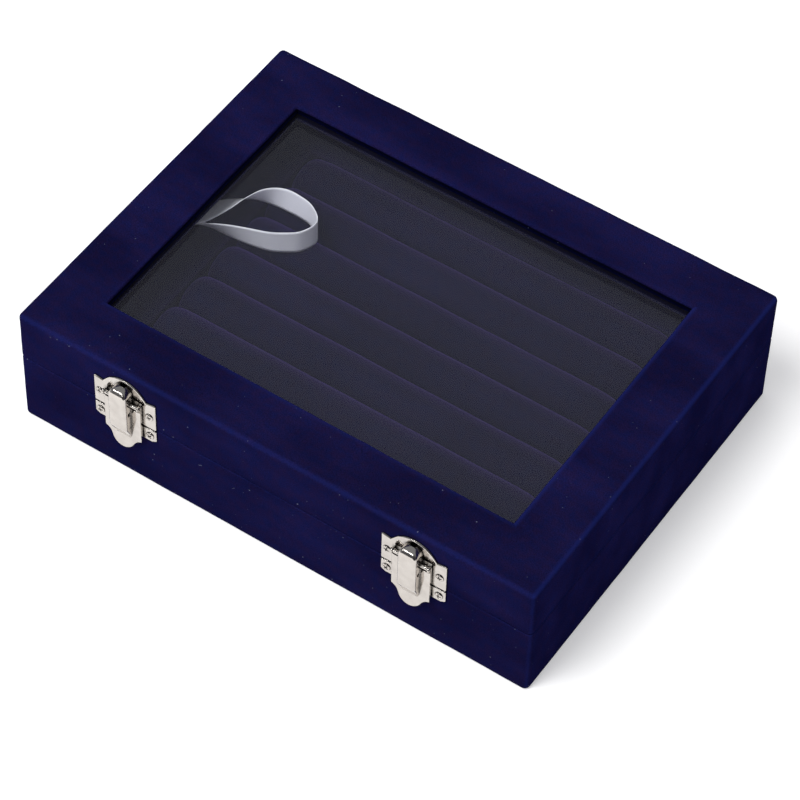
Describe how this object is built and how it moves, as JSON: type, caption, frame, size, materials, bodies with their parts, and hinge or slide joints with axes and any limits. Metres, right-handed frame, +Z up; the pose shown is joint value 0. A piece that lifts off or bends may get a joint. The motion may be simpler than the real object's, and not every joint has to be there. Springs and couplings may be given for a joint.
{
  "type": "earring box",
  "caption": "Flat velvet-covered box for earrings: hinged lid with a glass window, padded rolls inside, a ribbon lift loop and sprung catches on the front.",
  "frame": {"origin": "middle of the underside, on the felt sheet that the box stands on", "axes": "+X along the front edge, +Y from the front catches to the hinged back, +Z up through the window; drawn with the lid closed"},
  "size_m": [0.2, 0.1586, 0.05],
  "materials": {
    "outer_velvet": "short dark blue flock velvet with a soft blue sheen",
    "inner_velvet": "short dark blue flock velvet over card and foam",
    "felt": "thin pressed felt",
    "satin_ribbon": "pale satin",
    "window_glass": "clear float glass",
    "board": "raw fibreboard",
    "card": "grey pressed card",
    "spring_steel": "tempered strip steel",
    "hinge_metal": "nickel-plated steel, satin",
    "catch_nickel": "bright nickel plate"
  },
  "bodies": {
    "base": {"base_bottom_board": "board", "base_front_board": "board", "base_back_board": "board", "base_left_board": "board", "base_right_board": "board", "base_cover": "outer_velvet", "base_felt": "felt", "base_lining": "inner_velvet", "insert_floor_card": "card", "insert_border": "inner_velvet", "padded_roll_1": "inner_velvet", "padded_roll_2": "inner_velvet", "padded_roll_3": "inner_velvet", "padded_roll_4": "inner_velvet", "padded_roll_5": "inner_velvet", "padded_roll_6": "inner_velvet", "padded_roll_7": "inner_velvet", "lift_ribbon": "satin_ribbon", "base_catch_screws": "catch_nickel", "base_hinge_nails": "hinge_metal", "hinge_left_base_leaf": "hinge_metal", "hinge_left_pin": "hinge_metal", "catch_left_base_plate": "catch_nickel", "catch_left_pivot": "catch_nickel", "catch_left_spring": "spring_steel", "hinge_right_base_leaf": "hinge_metal", "hinge_right_pin": "hinge_metal", "catch_right_base_plate": "catch_nickel", "catch_right_pivot": "catch_nickel", "catch_right_spring": "spring_steel"},
    "lid": {"lid_top_frame": "board", "lid_front_board": "board", "lid_back_board": "board", "lid_left_board": "board", "lid_right_board": "board", "lid_cover": "outer_velvet", "lid_lining": "inner_velvet", "glass_pane": "window_glass", "glass_frame": "inner_velvet", "lid_catch_screws": "catch_nickel", "lid_hinge_nails": "hinge_metal", "hinge_left_lid_leaf": "hinge_metal", "catch_left_lid_plate": "catch_nickel", "hinge_right_lid_leaf": "hinge_metal", "catch_right_lid_plate": "catch_nickel"},
    "lever_left": {"catch_left_lever": "catch_nickel", "catch_left_rod": "catch_nickel"},
    "lever_right": {"catch_right_lever": "catch_nickel", "catch_right_rod": "catch_nickel"}
  },
  "joints": [
    {"name": "lid_hinge", "type": "hinge", "parent": "base", "child": "lid", "pos_m": [0, 0.0768, 0.0294], "axis": [-1, 0, 0], "range_deg": [0, 100]},
    {"name": "lever_left_press", "type": "hinge", "parent": "base", "child": "lever_left", "pos_m": [-0.0563, -0.0778, 0.0279], "axis": [1, 0, 0], "range_deg": [0, 8], "stiffness_Nm_per_rad": 0.02, "springref_deg": -5.73, "deforming": ["catch_left_spring"]},
    {"name": "lever_right_press", "type": "hinge", "parent": "base", "child": "lever_right", "pos_m": [0.0563, -0.0778, 0.0279], "axis": [1, 0, 0], "range_deg": [0, 8], "stiffness_Nm_per_rad": 0.02, "springref_deg": -5.73, "deforming": ["catch_right_spring"]}
  ]
}
